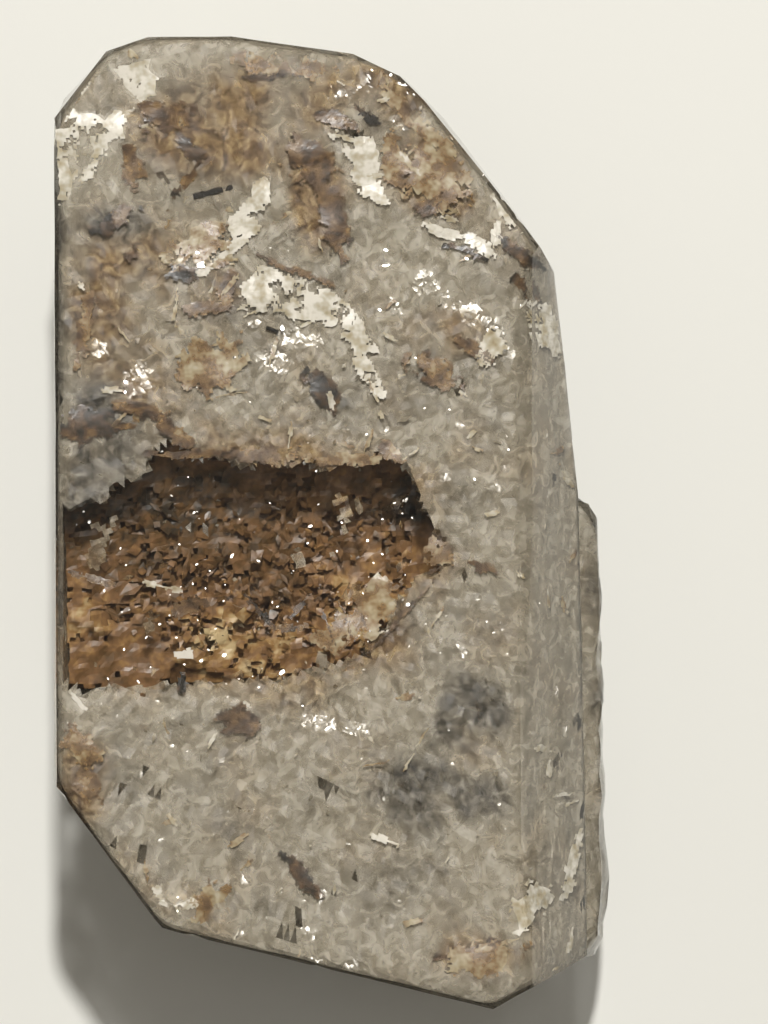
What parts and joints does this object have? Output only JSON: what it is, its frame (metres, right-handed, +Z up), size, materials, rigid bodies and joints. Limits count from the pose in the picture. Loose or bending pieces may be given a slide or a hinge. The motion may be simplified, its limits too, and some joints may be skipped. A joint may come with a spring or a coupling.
{
  "type": "mica crystal",
  "caption": "Clear quartz crystal bounded by flat faces, grown round a book of rusty mica and a veil of fine pale mica, with one broken flank and a flat underside.",
  "frame": {"origin": "middle of the crystal's outline, on the surface that its flat underside rests on", "axes": "+Z up from the underside, +Y along the crystal to its capped end, +X to its broken flank"},
  "size_m": [0.0218, 0.038, 0.0135],
  "materials": {
    "clear_quartz": "clear, faintly smoky, hazy with fine mica",
    "rusty_mica": "dark brown mineral flakes with a pearly lustre and rust stains",
    "pale_mica": "fine pale grey mica flakes, cloudy and faintly pearly"
  },
  "bodies": {
    "root": {"quartz_crystal": "clear_quartz", "mica_book": "rusty_mica", "mica_veil": "pale_mica"}
  },
  "joints": []
}
